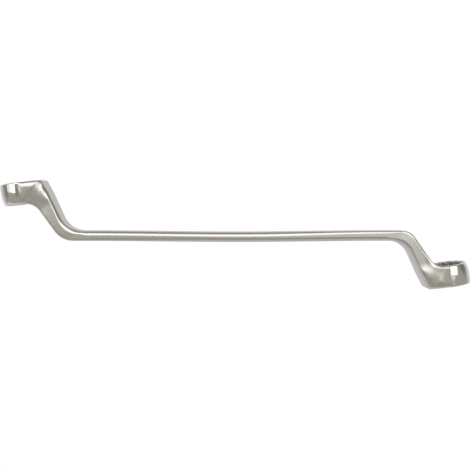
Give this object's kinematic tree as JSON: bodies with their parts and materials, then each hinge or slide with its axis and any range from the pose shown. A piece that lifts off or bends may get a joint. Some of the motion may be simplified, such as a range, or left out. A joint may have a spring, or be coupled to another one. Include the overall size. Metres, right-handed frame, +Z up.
{
  "type": "ring spanner",
  "caption": "Deep offset ring spanner: a flat shank with steep cranked necks and tilted ring heads on opposite sides, whose pointed sockets turn hexagon nuts and bolts.",
  "frame": {"origin": "the middle of the bounding box, just below the shank near its middle", "axes": "+X runs along the shank to the 13 mm end, +Z points up to the side on which the 12 mm ring stands off, and +Y points away from the pictured side. The spanner is symmetric about Y = 0"},
  "size_m": [0.2194, 0.02, 0.0506],
  "materials": {
    "polished_ring_12": "polished plating on forged steel",
    "satin_neck_12": "satin plating over fine belt grinding",
    "satin_shank": "satin plating over fine belt grinding",
    "satin_neck_13": "satin plating over fine belt grinding",
    "polished_ring_13": "polished plating on forged steel"
  },
  "bodies": {
    "root": {"ring_head_12": "polished_ring_12", "neck_12": "satin_neck_12", "shank": "satin_shank", "neck_13": "satin_neck_13", "ring_head_13": "polished_ring_13"}
  },
  "joints": []
}
